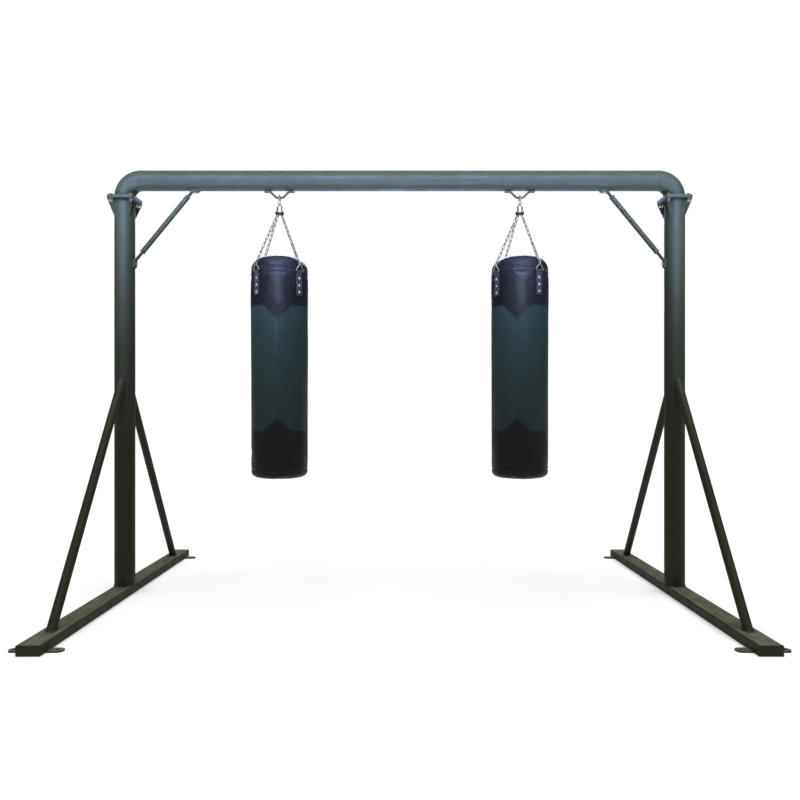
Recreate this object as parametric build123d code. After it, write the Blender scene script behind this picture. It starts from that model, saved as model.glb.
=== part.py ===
from build123d import *
import math
import os

# Double heavy-bag rack. Millimetres. +X right, +Y to the rear, +Z up.
# The origin is on the floor, below the middle of the crossbeam.

# Rack
POST_X = 1500.0            # post axis to the middle of the rack
TUBE_R = 54.0              # posts, elbows and crossbeam share one 108 mm tube
TUBE_WALL = 3.5
BEAM_Z = 2250.0            # crossbeam axis
ELBOW_R = 95.0             # bend radius of the elbow's axis

# Base tubes, lying front to back
BASE_LENGTH = 2000.0
BASE_W = 100.0
BASE_H = 45.0
BASE_WALL = 3.0
BASE_CORNER_R = 5.0
END_PLATE = 4.0

# Floor anchor ears beside the ends of each base tube
EAR_Y = 930.0
EAR_HOLE_X = 90.0          # hole to the base tube's middle
EAR_TIP_R = 25.0
EAR_T = 6.0
EAR_HOLE_R = 7.0

# Raker struts in front of and behind each post
STRUT_R = 21.2
STRUT_WALL = 2.6
STRUT_FOOT_Y = 810.0
STRUT_TOP_Z = 1140.0

# Bolted joint between post and elbow
FLANGE_SIDE = 150.0
FLANGE_T = 8.0
FLANGE_CORNER_R = 22.0
BOLT_OFFSET = 54.0         # bolt to post axis, along X and along Y
BOLT_R = 6.0
BOLT_HOLE_R = 6.75
HEX_AF = 18.0
HEX_FACE = 0.95            # turned face of a head or nut, as a part of its width across flats
HEX_RIM = 1.2              # where the turned chamfer would end, beyond the corners
HEX_CHAMFER_ANGLE = 30.0
HEAD_H = 7.5
NUT_H = 10.0
WASHER_R = 12.0
WASHER_T = 2.5
BOLT_TAIL = 4.0

# Gussets under the post flange, on its diagonals
GUSSET_T = 6.0
GUSSET_REACH = 94.5
GUSSET_LIP = 8.0
GUSSET_H = 84.0
GUSSET_FOOT = 6.0          # how far the gusset's lower end stands off the post
WINDOW_HALF = 12.6         # room for the washer and nut
WINDOW_DEPTH = 19.0
WINDOW_CORNER_R = 5.0

# Knee braces between post and crossbeam
BRACE_LOW = (1405.5, 1859.0)    # X and Z of the brace's lower end face
BRACE_HIGH = (1154.5, 2164.5)
BRACE_R = 13.5
BRACE_WALL = 2.6
BRACE_DISC_R = 15.5
BRACE_DISC_T = 4.0
TAB_W = 30.0
TAB_T = 5.0
TAB_BEND_R = 10.0
TAB_BOLT_GAP = 19.0        # bend to bolt
TAB_END_GAP = 17.0         # bolt to the tab's end
PAD_T = 3.0                # thinnest part of the saddle pad below a tab
PAD_W = 36.0
PAD_L = 44.0
BRACE_BOLT_R = 5.0
BRACE_HOLE_R = 5.5
BRACE_AF = 17.0
BRACE_HEAD_H = 6.4
BRACE_WASHER_R = 10.0
BRACE_WASHER_T = 2.0
BRACE_NUT_H = 8.0
BRACE_TAIL = 3.0

# Hanger brackets of bent round bar, below the crossbeam
HANG_X = 655.0
BAR_R = 6.0
BAR_FOOT_X = 82.0
BAR_KNEE_X = 50.0
BAR_FLAT_X = 18.0
BAR_DROP = 32.0
BAR_BEND_R = 12.0

# Shackle: bow over the bracket's bar, pin along Y
BOW_R = 4.5
BOW_INNER_R = 10.0
SHACKLE_EYE_T = 10.0
BOW_GAP = 0.3
PIN_Z = 2124.0
PIN_R = 5.0
PIN_HOLE_R = 5.05
SHACKLE_EYE_R = 10.0
PIN_HEAD_R = 8.0
PIN_HEAD_T = 4.0

# Swivel
STUD_EYE_R = 12.0
STUD_EYE_T = 14.0
STUD_R = 6.0
STUD_BORE_R = 6.05
STUD_FLANGE_R = 11.0
STUD_FLANGE_T = 5.0
HOUSING_TOP_Z = 2110.0
HOUSING_R = 16.5
HOUSING_CAVITY_R = 13.0
HOUSING_ROOF = 8.0
HOUSING_FLARE_Z = 2086.0
HOUSING_SKIRT_R = 25.0
HOUSING_SKIRT_Z = 2078.0
HOUSING_BOTTOM_Z = 2073.0
RACE_T = 2.5
RACE_INNER_R = 6.6
BALL_R = 2.0
BALL_COUNT = 10
BALL_CIRCLE_R = 9.6
BALL_PLAY = 0.05
CHAIN_PLATE_R = 23.5
CHAIN_PLATE_T = 6.0
EYELET_CIRCLE_R = 16.0
EYELET_R = 5.0
EYELET_WIRE_R = 2.0
EYELET_DROP = 4.0

# Chains and rings
CHAIN_AZIMUTHS = (45.0, 135.0, 225.0, 315.0)
LINK_COUNT = 12
LINK_WIRE_R = 2.25
LINK_INNER_W = 7.0
LINK_PLAY = 0.1
RING_WIRE_R = 2.25
RING_BASE = (161.3, 1737.0)     # radius from the bag's axis, and Z
RING_LEAN = 7.0                 # degrees outwards
RING_H = 37.0                   # base to the sharp corner above it
RING_HALF_W = 28.0
RING_BASE_BEND_R = 4.0
RING_TOP_BEND_R = 5.0

# Bag
BAG_R = 155.0
BAG_BOTTOM_Z = 630.0
BAG_TOP_Z = 1830.0
BAG_SHOULDER_R = 80.0
BAG_HEEL_R = 45.0
COVER_T = 2.5
FILLING_GAP = 2.0
STRAP_HALF_W = 18.0
STRAP_T = 2.5
STRAP_GAP = 0.05
STRAP_BOTTOM_Z = 1606.0
STRAP_TAPER_H = 16.0
LOOP_HOLE_R = 3.7
RIVET_Z = (1698.0, 1661.0, 1625.0)
RIVET_HEAD_R = 6.0
RIVET_HEAD_H = 3.0
RIVET_R = 2.5
RIVET_HOLE_R = 2.6
RIVET_TAIL_T = 1.0
RIVET_TAIL_GAP = 0.25
BAG_YAW = {"left": 5.0, "right": -15.0}

# Levels that follow from the sizes above
ELBOW_FOOT_Z = BEAM_Z - ELBOW_R
JOINT_Z = ELBOW_FOOT_Z - FLANGE_T
POST_TOP_Z = JOINT_Z - FLANGE_T
BEAM_END_X = POST_X - ELBOW_R
BEAM_UNDER_Z = BEAM_Z - TUBE_R
BAR_Z = BEAM_UNDER_Z - BAR_R
BAR_LOW_Z = BAR_Z - BAR_DROP
POST_FACE_X = POST_X - TUBE_R
BOTTOM = (Align.CENTER, Align.CENTER, Align.MIN)


def rod(start, end, radius):
    """Solid round bar from one point to another."""
    along = Vector(*end) - Vector(*start)
    return Plane(origin=start, z_dir=along) * Cylinder(radius, along.length, align=BOTTOM)


def pipe(start, end, radius, wall):
    return rod(start, end, radius) - rod(start, end, radius - wall)


def across(radius, x, z, half):
    """Round bar along Y, centred on the XZ plane."""
    return rod((x, -half, z), (x, half, z), radius)


def hexagon(af, height):
    """Hexagonal bar whose corners are turned off at the top."""
    flat = af / 2 * HEX_FACE
    rim = af / 2 * HEX_RIM
    fall = (rim - flat) * math.tan(math.radians(HEX_CHAMFER_ANGLE))
    bar = extrude(RegularPolygon(af / 2, 6, major_radius=False), amount=height)
    outline = make_face(Polyline((0, 0), (rim, 0), (rim, height - fall), (flat, height), (0, height), close=True))
    return bar & revolve(Plane.XZ * outline, Axis.Z, 360)


def washer(outer, inner, height):
    return Cylinder(outer, height, align=BOTTOM) - Cylinder(inner, height, align=BOTTOM)


def save(name, *shapes):
    solids = [solid for shape in shapes for solid in shape.solids()]
    export_step(Compound(solids), f"parts/{name}.step")


def save_pair(name, *shapes):
    """Right-hand shapes as they are, left-hand ones mirrored across the rack's middle."""
    save("right_" + name, *shapes)
    save("left_" + name, *[mirror(shape, about=Plane.YZ) for shape in shapes])


def both(shape):
    return [shape, mirror(shape, about=Plane.YZ)]


# ---- base ----

def base_section():
    return RectangleRounded(BASE_W, BASE_H, BASE_CORNER_R)


def base_bar(section, length, y=0.0):
    """Section drawn in XZ, swept along Y about the middle y."""
    bar = Rot(X=90) * extrude(section, amount=length / 2, both=True)
    return Pos(POST_X, y, BASE_H / 2) * bar


def base_tube():
    bore = RectangleRounded(BASE_W - 2 * BASE_WALL, BASE_H - 2 * BASE_WALL, BASE_CORNER_R - BASE_WALL)
    return base_bar(base_section() - bore, BASE_LENGTH - 2 * END_PLATE)


def end_plates():
    middle = (BASE_LENGTH - END_PLATE) / 2
    return [base_bar(base_section(), END_PLATE, y) for y in (-middle, middle)]


def anchor_ears():
    tube = base_bar(base_section(), BASE_LENGTH)
    ears = []
    for side in (-1, 1):
        for y in (-EAR_Y, EAR_Y):
            inner = BASE_W / 2 - BASE_CORNER_R
            middle = side * (inner + EAR_HOLE_X) / 2
            outline = Pos(middle, 0) * Rectangle(EAR_HOLE_X - inner, 2 * EAR_TIP_R)
            outline += Pos(side * EAR_HOLE_X, 0) * Circle(EAR_TIP_R)
            outline -= Pos(side * EAR_HOLE_X, 0) * Circle(EAR_HOLE_R)
            ears.append(Pos(POST_X, y, 0) * extrude(outline, amount=EAR_T) - tube)
    return ears


# ---- posts and struts ----

def post_core(bottom, top):
    return rod((POST_X, 0, bottom), (POST_X, 0, top), TUBE_R)


def post():
    tube = pipe((POST_X, 0, BASE_H), (POST_X, 0, POST_TOP_Z), TUBE_R, TUBE_WALL)
    z = lower_bolt_z()
    return tube - rod((POST_FACE_X - 1, 0, z), (POST_X, 0, z), BRACE_HOLE_R)


def strut(side):
    """Round tube from the base tube's top to the post, coped at both ends."""
    foot = Vector(POST_X, side * STRUT_FOOT_Y, BASE_H)
    top = Vector(POST_X, side * TUBE_R, STRUT_TOP_Z)
    along = (top - foot).normalized()
    tube = pipe(foot - along * 2 * STRUT_R, top + along * TUBE_R, STRUT_R, STRUT_WALL)
    below = Pos(POST_X, side * STRUT_FOOT_Y, BASE_H) * Box(
        4 * STRUT_R, 8 * STRUT_R, 8 * STRUT_R, align=(Align.CENTER, Align.CENTER, Align.MAX))
    return tube - below - post_core(BASE_H, POST_TOP_Z)


# ---- flange joints ----

def corners():
    return [(POST_X + i * BOLT_OFFSET, j * BOLT_OFFSET) for i in (-1, 1) for j in (-1, 1)]


def flange(bottom_z):
    plate = extrude(RectangleRounded(FLANGE_SIDE, FLANGE_SIDE, FLANGE_CORNER_R), amount=FLANGE_T)
    plate = Pos(POST_X, 0, bottom_z) * plate
    for x, y in corners():
        plate -= Pos(x, y, bottom_z) * Cylinder(BOLT_HOLE_R, FLANGE_T, align=BOTTOM)
    return plate


def gusset_outline():
    """Radius from the post's axis, and height below the flange."""
    window = BOLT_OFFSET * math.sqrt(2)
    plate = make_face(Polyline(
        (TUBE_R - GUSSET_FOOT, 0), (GUSSET_REACH, 0), (GUSSET_REACH, -GUSSET_LIP),
        (TUBE_R + GUSSET_FOOT, -GUSSET_H), (TUBE_R - GUSSET_FOOT, -GUSSET_H), close=True))
    slot = RectangleRounded(2 * WINDOW_HALF, 2 * WINDOW_DEPTH, WINDOW_CORNER_R)
    return plate - Pos(window, 0) * slot


def gussets():
    plate = Rot(X=90) * extrude(gusset_outline(), amount=GUSSET_T / 2, both=True)
    core = post_core(BASE_H, POST_TOP_Z + 1)
    return [Pos(POST_X, 0, POST_TOP_Z) * Rot(Z=a) * plate - core for a in (45, 135, 225, 315)]


def flange_bolt():
    """Hex bolt with its head on the beam's flange, at the origin's height for the flange's top."""
    shank = 2 * FLANGE_T + 2 * WASHER_T + NUT_H + BOLT_TAIL
    head = Pos(0, 0, WASHER_T) * hexagon(HEX_AF, HEAD_H)
    return head + Pos(0, 0, WASHER_T - shank) * Cylinder(BOLT_R, shank, align=BOTTOM)


def flange_nut():
    bottom = -2 * FLANGE_T - WASHER_T - NUT_H
    return Pos(0, 0, bottom) * (hexagon(HEX_AF, NUT_H) - Cylinder(BOLT_R, NUT_H, align=BOTTOM))


def flange_washers():
    ring = washer(WASHER_R, BOLT_HOLE_R, WASHER_T)
    return [ring, Pos(0, 0, -2 * FLANGE_T - WASHER_T) * ring]


def at_corners(*shapes):
    """Copies of a fastener at the bolts of both flange joints."""
    placed = [Pos(x, y, ELBOW_FOOT_Z) * shape for x, y in corners() for shape in shapes]
    return [copy for shape in placed for copy in both(shape)]


# ---- crossbeam ----

def elbow():
    ring = Pos(POST_X, 0, ELBOW_FOOT_Z) * (Circle(TUBE_R) - Circle(TUBE_R - TUBE_WALL))
    return revolve(ring, Axis((BEAM_END_X, 0, ELBOW_FOOT_Z), (0, -1, 0)), 90)


def crossbeam():
    beam = pipe((-BEAM_END_X, 0, BEAM_Z), (BEAM_END_X, 0, BEAM_Z), TUBE_R, TUBE_WALL)
    for x in (-upper_bolt_x(), upper_bolt_x()):
        beam -= rod((x, 0, BEAM_UNDER_Z - 1), (x, 0, BEAM_Z), BRACE_HOLE_R)
    return beam


def beam_core():
    return rod((-BEAM_END_X, 0, BEAM_Z), (BEAM_END_X, 0, BEAM_Z), TUBE_R)


# ---- knee braces ----

def brace_slope():
    """Unit vector up the brace, in X and Z."""
    run = BRACE_HIGH[0] - BRACE_LOW[0]
    rise = BRACE_HIGH[1] - BRACE_LOW[1]
    length = math.hypot(run, rise)
    return run / length, rise / length


def tab_corner_z():
    """Where the lower tab, flat on its pad, meets the brace's axis."""
    run, rise = brace_slope()
    return BRACE_LOW[1] - (tab_x() - BRACE_LOW[0]) * rise / -run


def tab_x():
    return POST_FACE_X - PAD_T - TAB_T / 2


def tab_z():
    return BEAM_UNDER_Z - PAD_T - TAB_T / 2


def tab_corner_x():
    run, rise = brace_slope()
    return BRACE_HIGH[0] + (tab_z() - BRACE_HIGH[1]) * run / rise


def lower_bolt_z():
    return tab_corner_z() - TAB_BOLT_GAP


def upper_bolt_x():
    return tab_corner_x() - TAB_BOLT_GAP


def brace_point(t):
    """Point on the brace's axis, t millimetres above its lower end face."""
    run, rise = brace_slope()
    return BRACE_LOW[0] + run * t, 0, BRACE_LOW[1] + rise * t


def brace_length():
    return math.hypot(BRACE_HIGH[0] - BRACE_LOW[0], BRACE_HIGH[1] - BRACE_LOW[1])


def brace_tube():
    inner_end = brace_length() - BRACE_DISC_T
    return pipe(brace_point(BRACE_DISC_T), brace_point(inner_end), BRACE_R, BRACE_WALL)


def brace_discs():
    length = brace_length()
    return [
        rod(brace_point(0), brace_point(BRACE_DISC_T), BRACE_DISC_R),
        rod(brace_point(length - BRACE_DISC_T), brace_point(length), BRACE_DISC_R),
    ]


def bent_tab(points, beyond):
    """Flat bar bent once in the XZ plane; beyond is a point inside the brace's end disc."""
    route = FilletPolyline(*points, beyond, radius=TAB_BEND_R)
    strip = trace(route, line_width=TAB_T)
    return Rot(X=90) * extrude(strip, amount=TAB_W / 2, both=True)


def brace_tabs():
    low_end = lower_bolt_z() - TAB_END_GAP
    high_end = upper_bolt_x() - TAB_END_GAP
    below = brace_point(BRACE_DISC_T)
    above = brace_point(brace_length() - BRACE_DISC_T)
    lower = bent_tab([(tab_x(), low_end), (tab_x(), tab_corner_z())], (below[0], below[2]))
    upper = bent_tab([(high_end, tab_z()), (tab_corner_x(), tab_z())], (above[0], above[2]))
    body = rod(brace_point(0), brace_point(brace_length()), 2 * TAB_W)
    z = lower_bolt_z()
    x = upper_bolt_x()
    lower = lower - body - rod((POST_FACE_X, 0, z), (tab_x() - TAB_T, 0, z), BRACE_HOLE_R)
    upper = upper - body - rod((x, 0, tab_z() - TAB_T), (x, 0, BEAM_UNDER_Z), BRACE_HOLE_R)
    return [lower, upper]


def brace_pads():
    """Saddle pads that give the tabs a flat seat on the round tubes."""
    z = lower_bolt_z()
    x = upper_bolt_x()
    depth = 3 * PAD_T
    low = Pos(POST_FACE_X - PAD_T + depth / 2, 0, z) * Box(depth, PAD_W, PAD_L)
    high = Pos(x, 0, BEAM_UNDER_Z - PAD_T + depth / 2) * Box(PAD_L, PAD_W, depth)
    low = low - post_core(BASE_H, POST_TOP_Z)
    high = high - beam_core()
    return [
        low - rod((POST_FACE_X - depth, 0, z), (POST_X, 0, z), BRACE_HOLE_R),
        high - rod((x, 0, BEAM_UNDER_Z - depth), (x, 0, BEAM_Z), BRACE_HOLE_R),
    ]


def brace_places():
    """Planes on the outer faces of the tabs, each facing away from its tube."""
    lower = Plane(origin=(tab_x() - TAB_T / 2, 0, lower_bolt_z()), z_dir=(-1, 0, 0))
    upper = Plane(origin=(upper_bolt_x(), 0, tab_z() - TAB_T / 2), z_dir=(0, 0, -1))
    return [lower, upper]


def on_braces(shape):
    return [copy for place in brace_places() for copy in both(place * shape)]


def weld_nut_top():
    """Weld nut's near face below the tab's outer face; it sits off the tube's curved inside."""
    sagitta = TUBE_R - TUBE_WALL - math.sqrt((TUBE_R - TUBE_WALL) ** 2 - (BRACE_AF / 2) ** 2)
    return TAB_T + PAD_T + TUBE_WALL + sagitta


def brace_bolt():
    shank = weld_nut_top() + BRACE_NUT_H + BRACE_TAIL + BRACE_WASHER_T
    head = Pos(0, 0, BRACE_WASHER_T) * hexagon(BRACE_AF, BRACE_HEAD_H)
    return head + Pos(0, 0, BRACE_WASHER_T - shank) * Cylinder(BRACE_BOLT_R, shank, align=BOTTOM)


def weld_nut():
    nut = hexagon(BRACE_AF, BRACE_NUT_H) - Cylinder(BRACE_BOLT_R, BRACE_NUT_H, align=BOTTOM)
    return Pos(0, 0, -weld_nut_top() - BRACE_NUT_H) * nut


# ---- hanger brackets ----

def hanger_bracket():
    """V of round bar, with a foot at each end welded along the beam's underside."""
    route = FilletPolyline(
        (-BAR_FOOT_X, BAR_Z), (-BAR_KNEE_X, BAR_Z), (-BAR_FLAT_X, BAR_LOW_Z),
        (BAR_FLAT_X, BAR_LOW_Z), (BAR_KNEE_X, BAR_Z), (BAR_FOOT_X, BAR_Z), radius=BAR_BEND_R)
    upright = Plane(origin=(0, 0, 0), x_dir=(1, 0, 0), z_dir=(0, -1, 0)) * route
    end = Plane(origin=(-BAR_FOOT_X, 0, BAR_Z), z_dir=(1, 0, 0))
    return sweep(end * Circle(BAR_R), path=upright)


# ---- shackle and swivel, on the bag's axis at x = 0 ----

def shackle_half():
    """Middle of the shackle to the outer face of its eyes."""
    return BOW_INNER_R + BOW_R + SHACKLE_EYE_T / 2


def shackle_bow():
    centre_z = BAR_LOW_Z + BAR_R + BOW_GAP - BOW_INNER_R
    leg_y = BOW_INNER_R + BOW_R
    inner = leg_y - SHACKLE_EYE_T / 2
    arch = revolve(Pos(0, leg_y, centre_z) * Circle(BOW_R), Axis((0, 0, centre_z), (1, 0, 0)), 180)
    for side in (-1, 1):
        arch += rod((0, side * leg_y, PIN_Z), (0, side * leg_y, centre_z), BOW_R)
        arch += rod((0, side * inner, PIN_Z), (0, side * shackle_half(), PIN_Z), SHACKLE_EYE_R)
    return arch - across(PIN_HOLE_R, 0, PIN_Z, 2 * leg_y)


def shackle_pin():
    outer = shackle_half()
    pin = across(PIN_R, 0, PIN_Z, outer + PIN_HEAD_T)
    head = rod((0, -outer, PIN_Z), (0, -outer - PIN_HEAD_T, PIN_Z), PIN_HEAD_R)
    nut = Plane(origin=(0, outer, PIN_Z), z_dir=(0, 1, 0)) * hexagon(2 * PIN_HEAD_R, PIN_HEAD_T)
    return pin + head + nut


def swivel_stud():
    """Eye on the shackle's pin, shank through the housing, flange below the bearing."""
    roof_z = HOUSING_TOP_Z - HOUSING_ROOF
    flange_top = roof_z - bearing_height()
    flange_z = flange_top - STUD_FLANGE_T
    stud = rod((0, 0, flange_z), (0, 0, PIN_Z), STUD_R)
    stud += rod((0, 0, flange_z), (0, 0, flange_top), STUD_FLANGE_R)
    stud += across(STUD_EYE_R, 0, PIN_Z, STUD_EYE_T / 2)
    return stud - across(PIN_HOLE_R, 0, PIN_Z, STUD_EYE_T)


def bearing_height():
    return 2 * RACE_T + 2 * BALL_R + 4 * BALL_PLAY


def swivel_bearing():
    """Thrust bearing: two flat races with balls between them."""
    top = HOUSING_TOP_Z - HOUSING_ROOF - BALL_PLAY
    race = washer(STUD_FLANGE_R + 1, RACE_INNER_R, RACE_T)
    ball_z = top - RACE_T - BALL_R - BALL_PLAY
    pieces = [Pos(0, 0, top - RACE_T) * race, Pos(0, 0, ball_z - BALL_R - BALL_PLAY - RACE_T) * race]
    for k in range(BALL_COUNT):
        angle = 360 * k / BALL_COUNT
        pieces.append(Rot(Z=angle) * Pos(BALL_CIRCLE_R, 0, ball_z) * Sphere(BALL_R))
    return pieces


def swivel_housing():
    """Turned bell: plain collar, then a flare to the skirt; open below."""
    half = make_face(Polyline(
        (STUD_BORE_R, HOUSING_TOP_Z), (HOUSING_R - 2, HOUSING_TOP_Z), (HOUSING_R, HOUSING_TOP_Z - 2),
        (HOUSING_R, HOUSING_FLARE_Z), (HOUSING_SKIRT_R, HOUSING_SKIRT_Z),
        (HOUSING_SKIRT_R, HOUSING_BOTTOM_Z), (HOUSING_CAVITY_R, HOUSING_BOTTOM_Z),
        (HOUSING_CAVITY_R, HOUSING_TOP_Z - HOUSING_ROOF),
        (STUD_BORE_R, HOUSING_TOP_Z - HOUSING_ROOF), close=True))
    return revolve(Plane.XZ * half, Axis.Z, 360)


def chain_plate():
    """Bottom disc of the swivel, with one eyelet for each chain."""
    bottom = HOUSING_BOTTOM_Z - CHAIN_PLATE_T
    plate = Pos(0, 0, bottom) * Cylinder(CHAIN_PLATE_R, CHAIN_PLATE_T, align=BOTTOM)
    for azimuth in CHAIN_AZIMUTHS:
        plate += Rot(Z=azimuth) * Pos(EYELET_CIRCLE_R, 0, bottom - EYELET_DROP) * eyelet()
    return plate


def eyelet():
    """U of round wire hanging from the chain plate, its bend centred at the origin."""
    loop = revolve(Pos(EYELET_R, 0) * Circle(EYELET_WIRE_R), Axis((0, 0, 0), (0, 1, 0)), 180)
    root = EYELET_DROP + CHAIN_PLATE_T / 2
    for side in (-1, 1):
        loop += rod((side * EYELET_R, 0, 0), (side * EYELET_R, 0, root), EYELET_WIRE_R)
    return loop


# ---- chains, rings, straps and rivets: made at azimuth 0, in the XZ plane ----

def ring_apex():
    """Wire centre at the top of the ring's upper bend."""
    half_corner = math.atan2(RING_HALF_W, RING_H)
    height = RING_H - RING_TOP_BEND_R * (1 / math.sin(half_corner) - 1)
    lean = math.radians(RING_LEAN)
    x = RING_BASE[0] + height * math.sin(lean)
    return Vector(x, 0, RING_BASE[1] + height * math.cos(lean))


def chain_ends():
    """Wire centres at the eyelet's lowest point towards the ring, and at the ring's apex."""
    top = Vector(EYELET_CIRCLE_R, 0, HOUSING_BOTTOM_Z - CHAIN_PLATE_T - EYELET_DROP)
    apex = ring_apex()
    down = (apex - top).normalized()
    return top + down * EYELET_R, apex


def link(inner_length):
    """Link in the XZ plane, long way along Z, centred at the origin."""
    bend = LINK_INNER_W / 2 + LINK_WIRE_R
    half = inner_length / 2 - LINK_INNER_W / 2
    shape = rod((bend, 0, -half), (bend, 0, half), LINK_WIRE_R)
    shape += rod((-bend, 0, -half), (-bend, 0, half), LINK_WIRE_R)
    for side in (-1, 1):
        end = Pos(0, 0, side * half) * Pos(bend, 0, 0) * Circle(LINK_WIRE_R)
        shape += revolve(end, Axis((0, 0, side * half), (0, -side, 0)), 180)
    return shape


def chain():
    """Taut chain; neighbouring links are a quarter turn apart."""
    top, apex = chain_ends()
    down = apex - top
    wires = EYELET_WIRE_R + RING_WIRE_R
    inner = (down.length + wires + (LINK_COUNT + 1) * LINK_PLAY) / LINK_COUNT
    pitch = inner - LINK_PLAY
    one = link(inner)
    run = Plane(origin=top, x_dir=(0, 1, 0), z_dir=down)
    first = inner / 2 - EYELET_WIRE_R - LINK_PLAY
    return [run * Pos(0, 0, first + k * pitch) * Rot(Z=90 * (k % 2)) * one for k in range(LINK_COUNT)]


def ring():
    """Triangle of round wire; its base lies in the strap's loop."""
    route = FilletPolyline(
        (-RING_HALF_W, 0), (RING_HALF_W, 0), (0, RING_H), close=True,
        radius=(RING_BASE_BEND_R, RING_BASE_BEND_R, RING_TOP_BEND_R))
    upright = Plane(origin=(0, 0, 0), x_dir=(0, 1, 0), z_dir=(1, 0, 0)) * route
    start = Plane(origin=upright @ 0, z_dir=upright % 0)
    wire = sweep(start * Circle(RING_WIRE_R), path=upright)
    return Pos(RING_BASE[0], 0, RING_BASE[1]) * Rot(Y=RING_LEAN) * wire


def strap():
    """Webbing folded over the ring's base and flat on the cover, curved with it."""
    inner = BAG_R + STRAP_GAP
    outer = inner + 2 * STRAP_T
    loop_r = LOOP_HOLE_R + STRAP_T
    loop_x = inner + loop_r
    z = RING_BASE[1]
    side = make_face(Polyline(
        (inner, z), (inner, STRAP_BOTTOM_Z), (outer, STRAP_BOTTOM_Z),
        (outer, z - STRAP_TAPER_H), (loop_x + loop_r, z), close=True))
    side += Pos(loop_x, z) * Circle(loop_r)
    side -= Pos(loop_x, z) * Circle(LOOP_HOLE_R)
    half_angle = math.degrees(math.asin(STRAP_HALF_W / BAG_R))
    sweep_face = Rot(Z=-half_angle) * (Plane.XZ * side)
    return cut_rivet_holes(revolve(sweep_face, Axis.Z, 2 * half_angle))


def cut_rivet_holes(shape):
    for z in RIVET_Z:
        shape -= rod((BAG_R - 2 * COVER_T, 0, z), (BAG_R + 4 * STRAP_T, 0, z), RIVET_HOLE_R)
    return shape


def rivets():
    """Domed heads outside, flat tails inside the cover, each turned about its own axis."""
    seat = BAG_R + STRAP_GAP + 2 * STRAP_T
    tail = BAG_R - COVER_T - RIVET_TAIL_GAP - RIVET_TAIL_T
    crown = seat + RIVET_HEAD_H
    ball_r = (RIVET_HEAD_R ** 2 + RIVET_HEAD_H ** 2) / (2 * RIVET_HEAD_H)
    half_rise = ball_r * (1 - math.cos(math.asin(RIVET_HEAD_R / ball_r) / 2))
    half_out = ball_r * math.sin(math.asin(RIVET_HEAD_R / ball_r) / 2)
    under = Polyline(
        (crown, 0), (tail, 0), (tail, RIVET_HEAD_R), (tail + RIVET_TAIL_T, RIVET_HEAD_R),
        (tail + RIVET_TAIL_T, RIVET_R), (seat, RIVET_R), (seat, RIVET_HEAD_R))
    dome = ThreePointArc((seat, RIVET_HEAD_R), (crown - half_rise, half_out), (crown, 0))
    rivet = revolve(make_face([*under.edges(), *dome.edges()]), Axis.X, 360)
    return [Pos(0, 0, z) * rivet for z in RIVET_Z]


# ---- bag ----

def bag_form(inset):
    """Cylinder with a large shoulder radius and a smaller heel radius."""
    height = BAG_TOP_Z - BAG_BOTTOM_Z - 2 * inset
    body = Pos(0, 0, BAG_BOTTOM_Z + inset) * Cylinder(BAG_R - inset, height, align=BOTTOM)
    rims = body.edges().filter_by(GeomType.CIRCLE).sort_by(Axis.Z)
    body = fillet(rims[-1], BAG_SHOULDER_R - inset)
    rims = body.edges().filter_by(GeomType.CIRCLE).sort_by(Axis.Z)
    return fillet(rims[0], BAG_HEEL_R - inset)


def bag_cover():
    cover = bag_form(0) - bag_form(COVER_T)
    for azimuth in CHAIN_AZIMUTHS:
        cover = Rot(Z=-azimuth) * cut_rivet_holes(Rot(Z=azimuth) * cover)
    return cover


def save_hanging_set(name, x, yaw):
    """One bag with its swivel and shackle; what spins with the bag is turned by yaw."""
    hang = Pos(x, 0, 0)
    spun = hang * Rot(Z=yaw)

    def around(shapes):
        return [spun * Rot(Z=a) * shape for a in CHAIN_AZIMUTHS for shape in shapes]

    save(name + "_shackle_bow", hang * shackle_bow())
    save(name + "_shackle_pin", hang * shackle_pin())
    save(name + "_swivel_stud", hang * swivel_stud())
    save(name + "_swivel_bearing", *[spun * piece for piece in swivel_bearing()])
    save(name + "_swivel_housing", spun * swivel_housing())
    save(name + "_chain_plate", spun * chain_plate())
    save(name + "_chains", *around(chain()))
    save(name + "_bag_rings", *around([ring()]))
    save(name + "_bag_straps", *around([strap()]))
    save(name + "_bag_rivets", *around(rivets()))
    save(name + "_bag_cover", spun * bag_cover())
    save(name + "_bag_filling", spun * bag_form(COVER_T + FILLING_GAP))


def save_rack():
    save_pair("base_tube", base_tube())
    save_pair("base_end_plates", *end_plates())
    save_pair("anchor_ears", *anchor_ears())
    save_pair("post", post())
    save_pair("front_strut", strut(-1))
    save_pair("rear_strut", strut(1))
    save_pair("post_flange", flange(POST_TOP_Z))
    save_pair("beam_flange", flange(JOINT_Z))
    save_pair("flange_gussets", *gussets())
    save_pair("beam_elbow", elbow())
    save_pair("brace_tube", brace_tube())
    save_pair("brace_tabs", *brace_tabs())
    save_pair("hanger_bracket", Pos(HANG_X, 0, 0) * hanger_bracket())
    save("crossbeam", crossbeam())
    save("brace_end_discs", *[copy for disc in brace_discs() for copy in both(disc)])
    save("brace_pads", *[copy for pad in brace_pads() for copy in both(pad)])
    save("brace_bolts", *on_braces(brace_bolt()))
    save("brace_washers", *on_braces(washer(BRACE_WASHER_R, BRACE_HOLE_R, BRACE_WASHER_T)))
    save("brace_weld_nuts", *on_braces(weld_nut()))
    save("flange_bolts", *at_corners(flange_bolt()))
    save("flange_nuts", *at_corners(flange_nut()))
    save("flange_washers", *at_corners(*flange_washers()))


os.makedirs("parts", exist_ok=True)
save_rack()
save_hanging_set("left", -HANG_X, BAG_YAW["left"])
save_hanging_set("right", HANG_X, BAG_YAW["right"])
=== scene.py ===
import math
import random

import bpy
import numpy as np
from mathutils import Matrix, Vector


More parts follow.
